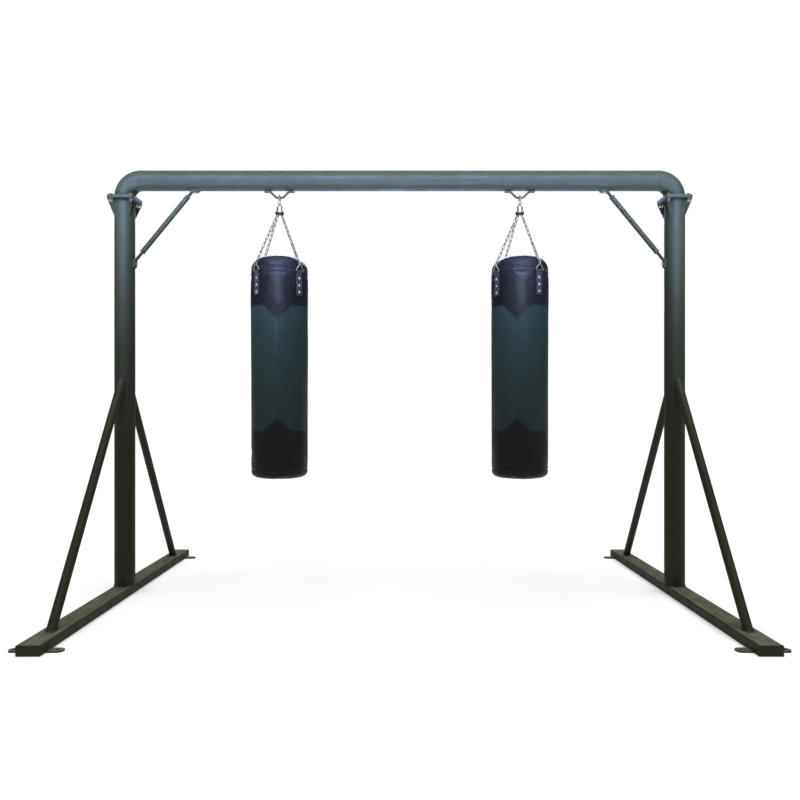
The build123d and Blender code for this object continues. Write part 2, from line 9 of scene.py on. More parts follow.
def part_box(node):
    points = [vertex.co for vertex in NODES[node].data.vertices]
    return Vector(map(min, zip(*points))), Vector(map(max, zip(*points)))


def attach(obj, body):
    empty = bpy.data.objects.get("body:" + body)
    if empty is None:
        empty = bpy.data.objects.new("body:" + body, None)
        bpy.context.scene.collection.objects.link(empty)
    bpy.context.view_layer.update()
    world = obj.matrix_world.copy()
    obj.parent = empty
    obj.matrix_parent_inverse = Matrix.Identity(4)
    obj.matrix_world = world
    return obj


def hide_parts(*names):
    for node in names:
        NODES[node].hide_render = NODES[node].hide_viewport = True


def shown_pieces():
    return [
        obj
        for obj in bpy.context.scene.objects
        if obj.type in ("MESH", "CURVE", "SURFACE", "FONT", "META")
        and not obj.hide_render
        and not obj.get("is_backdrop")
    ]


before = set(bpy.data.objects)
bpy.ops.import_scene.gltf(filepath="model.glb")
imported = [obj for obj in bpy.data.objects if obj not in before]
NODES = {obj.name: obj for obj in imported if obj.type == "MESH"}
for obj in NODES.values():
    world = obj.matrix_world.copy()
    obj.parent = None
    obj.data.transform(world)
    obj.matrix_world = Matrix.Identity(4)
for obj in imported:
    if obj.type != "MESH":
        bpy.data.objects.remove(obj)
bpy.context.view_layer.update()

# Double heavy-bag rack in metres: +X right, +Y to the rear, +Z up.

SCENE = bpy.context.scene
TURN = 2 * math.pi
SIDES = (("left", -1), ("right", 1))

# Bag, straps and their layout, as in the CAD
BAG_R = 0.155
BAG_LOW = 0.630
BAG_HIGH = 1.830
SHOULDER_R = 0.080
HEEL_R = 0.045
BAG_YAW = {"left": 5.0, "right": -15.0}
STRAP_AZIMUTHS = (45.0, 135.0, 225.0, 315.0)
STRAP_HALF_W = 0.018
STRAP_BOTTOM_Z = 1.606
RING_BAR_R = 0.1613
RING_BAR_Z = 1.737

# Rack
POST_X = 1.5
TUBE_R = 0.054
BASE_TOP = 0.045
BASE_HALF_W = 0.050
BASE_HALF_L = 1.0
END_PLATE = 0.004
STRUT_R = 0.0212
STRUT_FOOT_Y = 0.810
STRUT_TOP_Z = 1.140
POST_TOP = 2.139
FLANGE_TOP = 2.155
BEAM_Z = 2.250
BEAM_END_X = 1.405
GUSSET_H = 0.084
GUSSET_HALF_T = 0.003
GUSSET_REACH = 0.0945
WINDOW_OUTER = 0.0902
HANG_X = 0.655
BAR_FOOT_X = 0.082
BAR_KNEE_X = 0.053
BRACE_LOW = (1.4055, 0.0, 1.859)
BRACE_HIGH = (1.1545, 0.0, 2.1645)
BRACE_DISC_R = 0.0140
EAR_Y = 0.930
EAR_HALF = 0.025
EAR_T = 0.006


# ---------------------------------------------------------------- materials

class Finish:
    """A Principled material and short calls for the nodes that feed it."""

    def __init__(self, name, **sockets):
        self.material = bpy.data.materials.new(name)
        self.material.use_nodes = True
        self.tree = self.material.node_tree
        self.shader = self.tree.nodes["Principled BSDF"]
        for socket, value in sockets.items():
            self.shader.inputs[socket.replace("_", " ")].default_value = value
        self.place = self.add("TexCoord").outputs["Object"]
        self.normal = None

    def add(self, kind, **settings):
        node = self.tree.nodes.new("ShaderNode" + kind)
        for key, value in settings.items():
            setattr(node, key, value)
        return node

    def feed(self, socket, value):
        if isinstance(value, bpy.types.NodeSocket):
            self.tree.links.new(value, socket)
        else:
            socket.default_value = value

    def into(self, name, value):
        self.feed(self.shader.inputs[name], value)

    def math(self, operation, *values):
        node = self.add("Math", operation=operation)
        for socket, value in zip(node.inputs, values):
            self.feed(socket, value)
        return node.outputs[0]

    def axes(self, vector=None):
        node = self.add("SeparateXYZ")
        self.feed(node.inputs[0], vector or self.place)
        return node.outputs

    def stretched(self, scale):
        node = self.add("Mapping")
        self.feed(node.inputs["Vector"], self.place)
        node.inputs["Scale"].default_value = scale
        return node.outputs[0]

    def noise(self, scale, detail=3.0, vector=None):
        node = self.add("TexNoise")
        self.feed(node.inputs["Vector"], vector or self.place)
        node.inputs["Scale"].default_value = scale
        node.inputs["Detail"].default_value = detail
        return node.outputs["Fac"]

    def cells(self, scale):
        node = self.add("TexVoronoi", feature="F1")
        self.feed(node.inputs["Vector"], self.place)
        node.inputs["Scale"].default_value = scale
        return node.outputs["Distance"]

    def ramp(self, value, low, high, start=0.0, end=1.0):
        """Smooth change from start to end as value goes from low to high."""
        node = self.add("MapRange", interpolation_type="SMOOTHSTEP")
        for socket, number in zip(node.inputs, (value, low, high, start, end)):
            self.feed(socket, number)
        return node.outputs[0]

    def mix(self, factor, first, second):
        node = self.add("Mix", data_type="RGBA")
        self.feed(node.inputs[0], factor)
        self.feed(node.inputs[6], first)
        self.feed(node.inputs[7], second)
        return node.outputs[2]

    def bump(self, height, distance, strength=1.0):
        node = self.add("Bump")
        self.feed(node.inputs["Height"], height)
        node.inputs["Distance"].default_value = distance
        node.inputs["Strength"].default_value = strength
        if self.normal:
            self.feed(node.inputs["Normal"], self.normal)
        self.normal = node.outputs[0]
        self.into("Normal", self.normal)

    def round_edges(self, radius):
        """Softens hard edges of plates and bars; gives back how near an edge is."""
        bevel = self.add("Bevel", samples=4)
        bevel.inputs["Radius"].default_value = radius
        self.normal = bevel.outputs[0]
        self.into("Normal", self.normal)
        flat = self.add("NewGeometry").outputs["Normal"]
        dot = self.add("VectorMath", operation="DOT_PRODUCT")
        self.feed(dot.inputs[0], bevel.outputs[0])
        self.feed(dot.inputs[1], flat)
        return self.ramp(dot.outputs["Value"], 0.99, 0.86)

    def upward(self):
        normal = self.add("NewGeometry").outputs["Normal"]
        return self.axes(normal)[2]


def rgb(red, green, blue):
    return (red, green, blue, 1.0)


def paint():
    """Dark army-green powder coat: orange peel, lighter at the edges from thin paint and a painted edge
    highlight, painted top light in streaks on upward faces.
    """
    f = Finish("frame_powder_coat", Roughness=0.62, Specular_IOR_Level=0.16,
               Coat_Weight=0.02, Coat_Roughness=0.4)
    edge = f.round_edges(0.0016)
    cloud = f.ramp(f.noise(2.2, 4.0), 0.3, 0.7)
    base = f.mix(cloud, rgb(0.0115, 0.0128, 0.0050), rgb(0.0145, 0.0158, 0.0068))
    speck = f.ramp(f.noise(900.0, 2.0), 0.62, 0.75, 0.0, 0.25)
    base = f.mix(speck, base, rgb(0.028, 0.030, 0.020))
    # Lighter at the edges: partly thin paint, partly a painted edge highlight.
    thin_paint_and_highlight = f.math("MULTIPLY", edge, f.ramp(f.noise(60.0, 4.0), 0.42, 0.62, 0.15, 0.7))
    base = f.mix(thin_paint_and_highlight, base, rgb(0.050, 0.053, 0.038))
    # Upward faces lighter in streaks: painted top light.
    streak = f.noise(9.0, 5.0, f.stretched((7.0, 1.0, 7.0)))
    painted_top_light = f.math("MULTIPLY", f.ramp(f.upward(), 0.75, 1.0), f.ramp(streak, 0.3, 0.75, 0.45, 1.0))
    base = f.mix(painted_top_light, base, rgb(0.112, 0.115, 0.078))
    f.into("Base Color", base)
    f.into("Roughness", f.ramp(f.noise(14.0, 5.0), 0.3, 0.75, 0.56, 0.70))
    f.bump(f.noise(320.0, 2.0), 0.00016, 0.6)
    f.bump(f.noise(1700.0, 2.0), 0.00003, 0.5)
    return f.material


def plated(name, dark, light, smooth, rough, grain, dent=0.00005):
    """Plated or polished steel: cloudy roughness, fine grain, painted shade where parts meet, a painted
    highlight along the edges.
    """
    f = Finish(name, Metallic=1.0)
    edge = f.round_edges(0.0005)
    cloud = f.ramp(f.noise(grain / 6, 4.0), 0.3, 0.7)
    base = f.mix(cloud, dark, light)
    # Painted shade: darker where parts meet and in hollows, from ambient occlusion.
    cavity = f.add("AmbientOcclusion", samples=4)
    cavity.inputs["Distance"].default_value = 0.006
    painted_shade = f.ramp(cavity.outputs["AO"], 0.75, 0.15, 0.0, 0.7)
    base = f.mix(painted_shade, base, rgb(0.06, 0.055, 0.05))
    # Painted edge highlight: lighter along the edges.
    base = f.mix(f.math("MULTIPLY", edge, 0.4), base, rgb(0.9, 0.9, 0.9))
    f.into("Base Color", base)
    f.into("Roughness", f.ramp(f.noise(grain, 5.0), 0.3, 0.75, smooth, rough))
    f.bump(f.noise(grain * 3, 3.0), dent, 0.5)
    return f.material


def turned_chrome():
    """Chrome over a turned surface, with faint rings round its axis."""
    f = Finish("swivel_chrome", Metallic=1.0)
    f.round_edges(0.0006)
    haze = f.ramp(f.noise(70.0, 4.0), 0.35, 0.7)
    f.into("Base Color", f.mix(haze, rgb(0.84, 0.84, 0.90), rgb(0.70, 0.70, 0.76)))
    f.into("Roughness", f.ramp(f.noise(160.0, 4.0), 0.3, 0.7, 0.07, 0.2))
    f.bump(f.noise(1.0, 2.0, f.stretched((0.0, 0.0, 900.0))), 0.00004, 0.5)
    return f.material


def black_steel():
    f = Finish("blackened_steel", Metallic=0.7)
    edge = f.round_edges(0.0006)
    cloud = f.ramp(f.noise(90.0, 4.0), 0.35, 0.7)
    base = f.mix(cloud, rgb(0.018, 0.018, 0.021), rgb(0.036, 0.035, 0.038))
    # Painted edge highlight: lighter along the edges.
    f.into("Base Color", f.mix(f.math("MULTIPLY", edge, 0.5), base, rgb(0.25, 0.25, 0.26)))
    f.into("Roughness", f.ramp(f.noise(220.0, 4.0), 0.3, 0.7, 0.3, 0.5))
    f.bump(f.noise(1200.0, 2.0), 0.00004, 0.5)
    return f.material


# The bag's print, in its own coordinates: front at -Y
PRINT_TOP = 1.5535
PRINT_LOW = 0.888
POINT_HALF_W = 0.078
TOP_POINT = 0.080
LOW_POINT = 0.066


def print_mask(f, x, y, z):
    """1 on the green band. Its black neighbours come to a point at the front and back."""
    angle = f.math("ARCTAN2", f.math("ABSOLUTE", x), f.math("ABSOLUTE", y))
    across = f.math("MULTIPLY", angle, BAG_R / POINT_HALF_W)
    point = f.math("MAXIMUM", f.math("SUBTRACT", 1.0, across), 0.0)
    top = f.math("SUBTRACT", PRINT_TOP, f.math("MULTIPLY", point, TOP_POINT))
    low = f.math("ADD", PRINT_LOW, f.math("MULTIPLY", point, LOW_POINT))
    below_top = f.ramp(f.math("SUBTRACT", top, z), -0.0008, 0.0008)
    above_low = f.ramp(f.math("SUBTRACT", z, low), -0.0008, 0.0008)
    return f.math("MULTIPLY", below_top, above_low)


def leather_surface(f):
    """Fine pebble grain, soft horizontal creases and uneven gloss."""
    pebble = f.cells(620.0)
    f.bump(f.noise(5.0, 4.0, f.stretched((1.0, 1.0, 4.5))), 0.0022, 0.5)
    f.bump(f.ramp(f.noise(16.0, 3.0, f.stretched((1.0, 1.0, 6.0))), 0.52, 0.6), 0.0004, 0.35)
    f.bump(pebble, 0.00022, 0.55)
    f.bump(f.noise(2600.0, 2.0), 0.00004, 0.5)
    scuff = f.ramp(f.noise(11.0, 6.0), 0.5, 0.72, 0.0, 0.08)
    rough = f.ramp(f.noise(7.0, 5.0), 0.3, 0.7, 0.40, 0.52)
    f.into("Roughness", f.math("ADD", rough, scuff))
    return pebble


def bag_leather():
    """Black synthetic leather with a printed green band."""
    f = Finish("bag_leather", Specular_IOR_Level=0.14)
    x, y, z = f.axes()
    green = print_mask(f, x, y, z)
    fold = f.ramp(x, -0.002, 0.002, 1.0, 0.0)
    lift = f.math("MULTIPLY", fold, f.ramp(z, 0.9, 1.5, 0.25, 0.9))
    shade = f.mix(lift, rgb(0.0100, 0.0200, 0.0178), rgb(0.0145, 0.0262, 0.0235))
    cloud = f.ramp(f.noise(4.0, 4.0), 0.3, 0.7)
    black = f.mix(cloud, rgb(0.0032, 0.0032, 0.0042), rgb(0.0048, 0.0048, 0.0058))
    base = f.mix(green, black, shade)
    pebble = leather_surface(f)
    # Painted shade: darker in the grain's valleys.
    painted_valley_shade = f.ramp(pebble, 0.35, 0.75, 0.0, 0.35)
    f.into("Base Color", f.mix(painted_valley_shade, base, rgb(0.004, 0.004, 0.005)))
    return f.material


def plain_leather():
    f = Finish("trim_leather", Specular_IOR_Level=0.22)
    cloud = f.ramp(f.noise(40.0, 4.0), 0.3, 0.7)
    f.into("Base Color", f.mix(cloud, rgb(0.0055, 0.0055, 0.0068), rgb(0.0080, 0.0080, 0.0095)))
    leather_surface(f)
    return f.material


def webbing():
    """Black nylon webbing. Its weave follows the strap: across in U, along it in V, in metres."""
    f = Finish("strap_webbing", Roughness=0.72, Specular_IOR_Level=0.25, Sheen_Weight=0.06)
    weave = f.add("Attribute", attribute_name="weave")
    across, along, _ = f.axes(weave.outputs["Vector"])
    rib = f.math("SINE", f.math("MULTIPLY", along, TURN / 0.0014))
    odd = f.math("SINE", f.math("MULTIPLY", across, TURN / 0.0024))
    crossing = f.math("MULTIPLY", rib, odd)
    height = f.ramp(crossing, -0.9, 0.9)
    fuzz = f.noise(2500.0, 3.0)
    # Sunk threads of the weave darker: painted shade.
    base = f.mix(height, rgb(0.004, 0.004, 0.005), rgb(0.014, 0.014, 0.015))
    f.into("Base Color", f.mix(f.ramp(fuzz, 0.55, 0.8, 0.0, 0.3), base, rgb(0.03, 0.03, 0.033)))
    f.bump(height, 0.00035, 0.8)
    f.bump(fuzz, 0.00008, 0.5)
    return f.material


def thread():
    f = Finish("stitch_thread", Roughness=0.6, Specular_IOR_Level=0.3)
    twist = f.noise(1800.0, 3.0)
    f.into("Base Color", f.mix(twist, rgb(0.016, 0.016, 0.018), rgb(0.042, 0.042, 0.045)))
    f.bump(twist, 0.00010, 0.7)
    return f.material


def hidden_filling():
    f = Finish("bag_fill", Roughness=0.95)
    f.into("Base Color", f.mix(f.noise(50.0, 5.0), rgb(0.2, 0.19, 0.18), rgb(0.4, 0.38, 0.35)))
    return f.material


MATERIALS = {
    "frame_paint": paint(),
    "zinc_steel": plated("zinc_plate", rgb(0.42, 0.44, 0.46), rgb(0.60, 0.61, 0.63), 0.22, 0.40, 240.0),
    "chrome_steel": turned_chrome(),
    "bearing_steel": plated("bearing_steel", rgb(0.5, 0.5, 0.52), rgb(0.6, 0.6, 0.62), 0.15, 0.3, 300.0),
    "black_steel": black_steel(),
    "chain_steel": plated("chain_zinc", rgb(0.30, 0.30, 0.31), rgb(0.50, 0.50, 0.52), 0.18, 0.34, 420.0),
    "strap_webbing": webbing(),
    "rivet_nickel": plated("rivet_nickel", rgb(0.66, 0.65, 0.63), rgb(0.80, 0.79, 0.77), 0.12, 0.26, 500.0),
    "bag_leather": bag_leather(),
    "bag_fill": hidden_filling(),
}
TRIM = plain_leather()
THREAD = thread()


# ------------------------------------------------------------- mesh helpers

def mesh_object(name, points, faces, material):
    mesh = bpy.data.meshes.new(name)
    mesh.from_pydata([tuple(p) for p in points], [], faces)
    mesh.polygons.foreach_set("use_smooth", [True] * len(mesh.polygons))
    mesh.materials.append(material)
    mesh.update()
    piece = bpy.data.objects.new(name, mesh)
    SCENE.collection.objects.link(piece)
    return piece


def finish_piece(piece, body):
    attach(piece, body)


class Pieces:
    """Collects points and faces of many small shapes for one object."""

    def __init__(self):
        self.points = []
        self.faces = []

    def add(self, points, faces):
        base = len(self.points)
        self.points.extend(points)
        self.faces.extend([tuple(base + i for i in face) for face in faces])


def ring_faces(rows, around, loop=False):
    """Quads between rows of points, where each row closes on itself."""
    faces = []
    for i in range(rows if loop else rows - 1):
        low, high = i * around, (i + 1) % rows * around
        for j in range(around):
            k = (j + 1) % around
            faces.append((low + j, low + k, high + k, high + j))
    return faces


def closed_faces(rows, around):
    """The same quads, with a cap on both ends."""
    last = (rows - 1) * around
    caps = [tuple(reversed(range(around))), tuple(last + j for j in range(around))]
    return ring_faces(rows, around) + caps


def tube(path, radii, around, loop=False, up=None):
    """Points and faces of a round tube along a path; radii holds one radius per path point."""
    path = np.asarray(path, float)
    count = len(path)
    if loop:
        ahead, behind = np.roll(path, -1, 0), np.roll(path, 1, 0)
    else:
        ahead = np.vstack([path[1:], path[-1:]])
        behind = np.vstack([path[:1], path[:-1]])
    along = ahead - behind
    along /= np.linalg.norm(along, axis=1)[:, None]
    guide = np.array(up if up is not None else (0.0, 0.0, 1.0), float)
    side = np.cross(along, guide)
    side /= np.maximum(np.linalg.norm(side, axis=1)[:, None], 1e-9)
    top = np.cross(side, along)
    angles = np.arange(around) * TURN / around
    points = (path[:, None, :]
              + np.asarray(radii)[:, None, None]
              * (np.cos(angles)[None, :, None] * side[:, None, :]
                 + np.sin(angles)[None, :, None] * top[:, None, :]))
    faces = ring_faces(count, around, True) if loop else closed_faces(count, around)
    return points.reshape(-1, 3), faces


# ---------------------------------------------------------------- weld beads

WELD_RIPPLE = 0.0034
WELD_STEP = 0.0011
WELD_SIDES = 8
CIRCLE_POINTS = 96
STRUT_POINTS = 72

# Bead radii
POST_BEAD = 0.0034
FLANGE_BEAD = 0.0032
STRUT_BEAD = 0.0030
EAR_BEAD = 0.0026
GUSSET_BEAD = 0.0024
TAB_BEAD = 0.0020
GUSSET_TOP_BEAD = 0.0022
BAR_BEAD = 0.0021
CAP_BEAD = 0.0016
BEAM_BEAD = 0.0014


def spaced(path, step, loop):
    """The path's points again, an even step apart."""
    path = np.asarray(path, float)
    if loop:
        path = np.vstack([path, path[:1]])
    lengths = np.linalg.norm(np.diff(path, axis=0), axis=1)
    at = np.concatenate([[0.0], np.cumsum(lengths)])
    count = max(4, int(at[-1] / step))
    wanted = np.linspace(0.0, at[-1], count, endpoint=not loop)
    even = np.column_stack([np.interp(wanted, at, path[:, k]) for k in range(3)])
    return even, wanted


def weld(beads, path, radius, loop=False, up=None):
    """A rippled fillet bead along a path."""
    even, at = spaced(path, WELD_STEP, loop)
    wave = np.abs(np.sin(at * math.pi / WELD_RIPPLE))
    slow = np.sin(at * 61.0) * 0.06 + np.sin(at * 173.0 + 1.3) * 0.05
    radii = radius * (0.86 + 0.2 * wave + slow)
    if not loop:
        ends = np.minimum(at, at[-1] - at) / (2 * radius)
        radii = radii * np.clip(0.35 + 0.65 * ends, 0.35, 1.0)
    beads.add(*tube(even, radii, WELD_SIDES, loop, up))


def circle(centre, radius, axis="Z"):
    """Points round a circle in the plane square to the X or Z axis."""
    angles = np.linspace(0.0, TURN, CIRCLE_POINTS, endpoint=False)
    a, b = radius * np.cos(angles), radius * np.sin(angles)
    o = np.zeros_like(a)
    offsets = {"Z": (a, b, o), "X": (o, a, b)}[axis]
    return np.column_stack(offsets) + np.asarray(centre, float)


def strut_lines(side):
    """Foot and top of a strut's axis, and its direction."""
    foot = Vector((POST_X, side * STRUT_FOOT_Y, BASE_TOP))
    top = Vector((POST_X, side * TUBE_R, STRUT_TOP_Z))
    return foot, (top - foot).normalized()


def strut_ring(side, at_post):
    """Where the strut's surface meets the base tube's top or the post."""
    foot, along = strut_lines(side)
    across = Vector((1, 0, 0))
    other = along.cross(across)
    ring = []
    for k in range(STRUT_POINTS):
        a = TURN * k / STRUT_POINTS
        start = foot + STRUT_R * (math.cos(a) * across + math.sin(a) * other)
        if at_post:
            x = start.x - POST_X
            y = side * math.sqrt(TUBE_R ** 2 - x * x)
            t = (y - start.y) / along.y
        else:
            t = (BASE_TOP - start.z) / along.z
        ring.append(start + along * t)
    return [tuple(p) for p in ring]


def post_welds(beads):
    weld(beads, circle((POST_X, 0, BASE_TOP + 0.0008), TUBE_R + 0.0004), POST_BEAD, True)
    weld(beads, circle((POST_X, 0, POST_TOP - 0.001), TUBE_R + 0.0008), FLANGE_BEAD, True)
    weld(beads, circle((POST_X, 0, FLANGE_TOP + 0.001), TUBE_R + 0.0008), FLANGE_BEAD, True)
    weld(beads, circle((BEAM_END_X, 0, BEAM_Z), TUBE_R - 0.0003, "X"), BEAM_BEAD, True, (1, 0, 0))
    for side in (-1, 1):
        for at_post in (False, True):
            up = (0, side, 0) if at_post else (0, 0, 1)
            weld(beads, strut_ring(side, at_post), STRUT_BEAD, True, up)


def gusset_welds(beads):
    """Both sides of each gusset: down the post, and below the flange on either side of the nut."""
    for azimuth in (45, 135, 225, 315):
        a = math.radians(azimuth)
        out = np.array((math.cos(a), math.sin(a), 0.0))
        side = np.array((-math.sin(a), math.cos(a), 0.0))
        post = np.array((POST_X, 0.0, 0.0))
        for s in (-1, 1):
            foot = post + out * (TUBE_R + 0.0002) + side * s * (GUSSET_HALF_T + 0.0008)
            low, high = foot.copy(), foot.copy()
            low[2], high[2] = POST_TOP - GUSSET_H + 0.004, POST_TOP - 0.003
            weld(beads, [low, high], GUSSET_BEAD, up=out)
            face = side * s * (GUSSET_HALF_T + 0.0006)
            start = post + out * (TUBE_R + 0.006) + face
            mid = post + out * (TUBE_R + 0.010) + face
            start[2] = mid[2] = POST_TOP - 0.0006
            weld(beads, [start, mid], GUSSET_TOP_BEAD)
            inner = post + out * WINDOW_OUTER + face
            outer = post + out * (GUSSET_REACH - 0.001) + face
            inner[2] = outer[2] = POST_TOP - 0.0006
            weld(beads, [inner, outer], GUSSET_TOP_BEAD)


def base_welds(beads):
    """Round the end plates and along the anchor ears."""
    half_w, half_h = BASE_HALF_W - 0.0012, BASE_TOP / 2 - 0.0012
    for y in (-BASE_HALF_L + END_PLATE, BASE_HALF_L - END_PLATE):
        corners = []
        for sx, sz in ((-1, -1), (1, -1), (1, 1), (-1, 1)):
            corners.append((POST_X + sx * half_w, y, BASE_TOP / 2 + sz * half_h))
        weld(beads, corners, CAP_BEAD, True, (0, 1, 0))
    for y in (-EAR_Y, EAR_Y):
        for side in (-1, 1):
            x = POST_X + side * (BASE_HALF_W + 0.0008)
            z = EAR_T + 0.0006
            weld(beads, [(x, y - EAR_HALF, z), (x, y + EAR_HALF, z)], EAR_BEAD)


def bracket_welds(beads):
    """Round both feet of the hanger bracket, below the crossbeam."""
    x = HANG_X
    low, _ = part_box("crossbeam")
    z = low.z - 0.0014
    for end in (-1, 1):
        for side in (-1, 1):
            y = side * 0.0046
            path = [(x + end * BAR_KNEE_X, y, z), (x + end * (BAR_FOOT_X + 0.001), y, z)]
            weld(beads, path, BAR_BEAD)
        tip = x + end * (BAR_FOOT_X + 0.0008)
        weld(beads, [(tip, -0.0040, z), (tip, 0.0040, z)], BAR_BEAD)


def brace_welds(beads):
    """Round both ends of a knee brace, where its discs meet tube and tab."""
    low, high = Vector(BRACE_LOW), Vector(BRACE_HIGH)
    along = (high - low).normalized()
    across = along.cross(Vector((0, 1, 0)))
    for centre in (low + along * 0.0045, high - along * 0.0045):
        ring = [centre + BRACE_DISC_R * (math.cos(a) * across + math.sin(a) * Vector((0, 1, 0)))
                for a in np.linspace(0, TURN, 48, endpoint=False)]
        weld(beads, [tuple(p) for p in ring], CAP_BEAD, True, tuple(along))
    for centre, out in ((low - along * 0.0006, -1), (high + along * 0.0006, 1)):
        for side in (-1, 1):
            offset = across * side * 0.0030
            ends = [centre + offset + Vector((0, y, 0)) for y in (-0.012, 0.012)]
            weld(beads, [tuple(p) for p in ends], TAB_BEAD, up=tuple(along * out))


def make_welds():
    beads = Pieces()
    post_welds(beads)
    gusset_welds(beads)
    base_welds(beads)
    bracket_welds(beads)
    brace_welds(beads)
    for name, sign in SIDES:
        points = np.array(beads.points) * (sign, 1, 1)
        faces = beads.faces if sign > 0 else [tuple(reversed(f)) for f in beads.faces]
        piece = mesh_object(name + "_weld_beads", points, faces, MATERIALS["frame_paint"])
        finish_piece(piece, "frame")


# ---------------------------------------------------------------- bag cover

COLUMNS = 140
ROW_STEP = 0.007
START_INSET = 0.0035
SIM_FRAMES = 20
SIM_CAP = 0.0055
SEAM_LOW = 0.672
SEAM_HIGH = 1.752
SEAM_DIP = 0.0012
SEAM_PIPE_R = 0.0014
SEAM_STITCH_OFFSET = 0.0075
STRAP_SEAT = 0.0009
POLE_PIN_R = 0.055
LID_CROWN = 0.004
LUMPS = 26
PRESSURE = 4.0
SHRINK = -0.018
PIPING_POINTS = 220


def bag_outline(inset):
    """Radius and height along the cover, from the middle of its base to the middle of its lid."""
    r, low, high = BAG_R - inset, BAG_LOW + inset, BAG_HIGH - inset
    heel, shoulder = HEEL_R - inset, SHOULDER_R - inset
    corner = np.linspace(0, math.pi / 2, 40)
    radius = np.concatenate([
        [0.0], r - heel + heel * np.sin(corner), [r], r - shoulder + shoulder * np.cos(corner), [0.0]])
    height = np.concatenate([
        [low], low + heel - heel * np.cos(corner), [high - shoulder],
        high - shoulder + shoulder * np.sin(corner), [high]])
    at = np.concatenate([[0.0], np.cumsum(np.hypot(np.diff(radius), np.diff(height)))])
    count = int(at[-1] / ROW_STEP)
    wanted = np.linspace(0, at[-1], count + 1)[1:-1]
    return np.interp(wanted, at, radius), np.interp(wanted, at, height), wanted, at[-1]


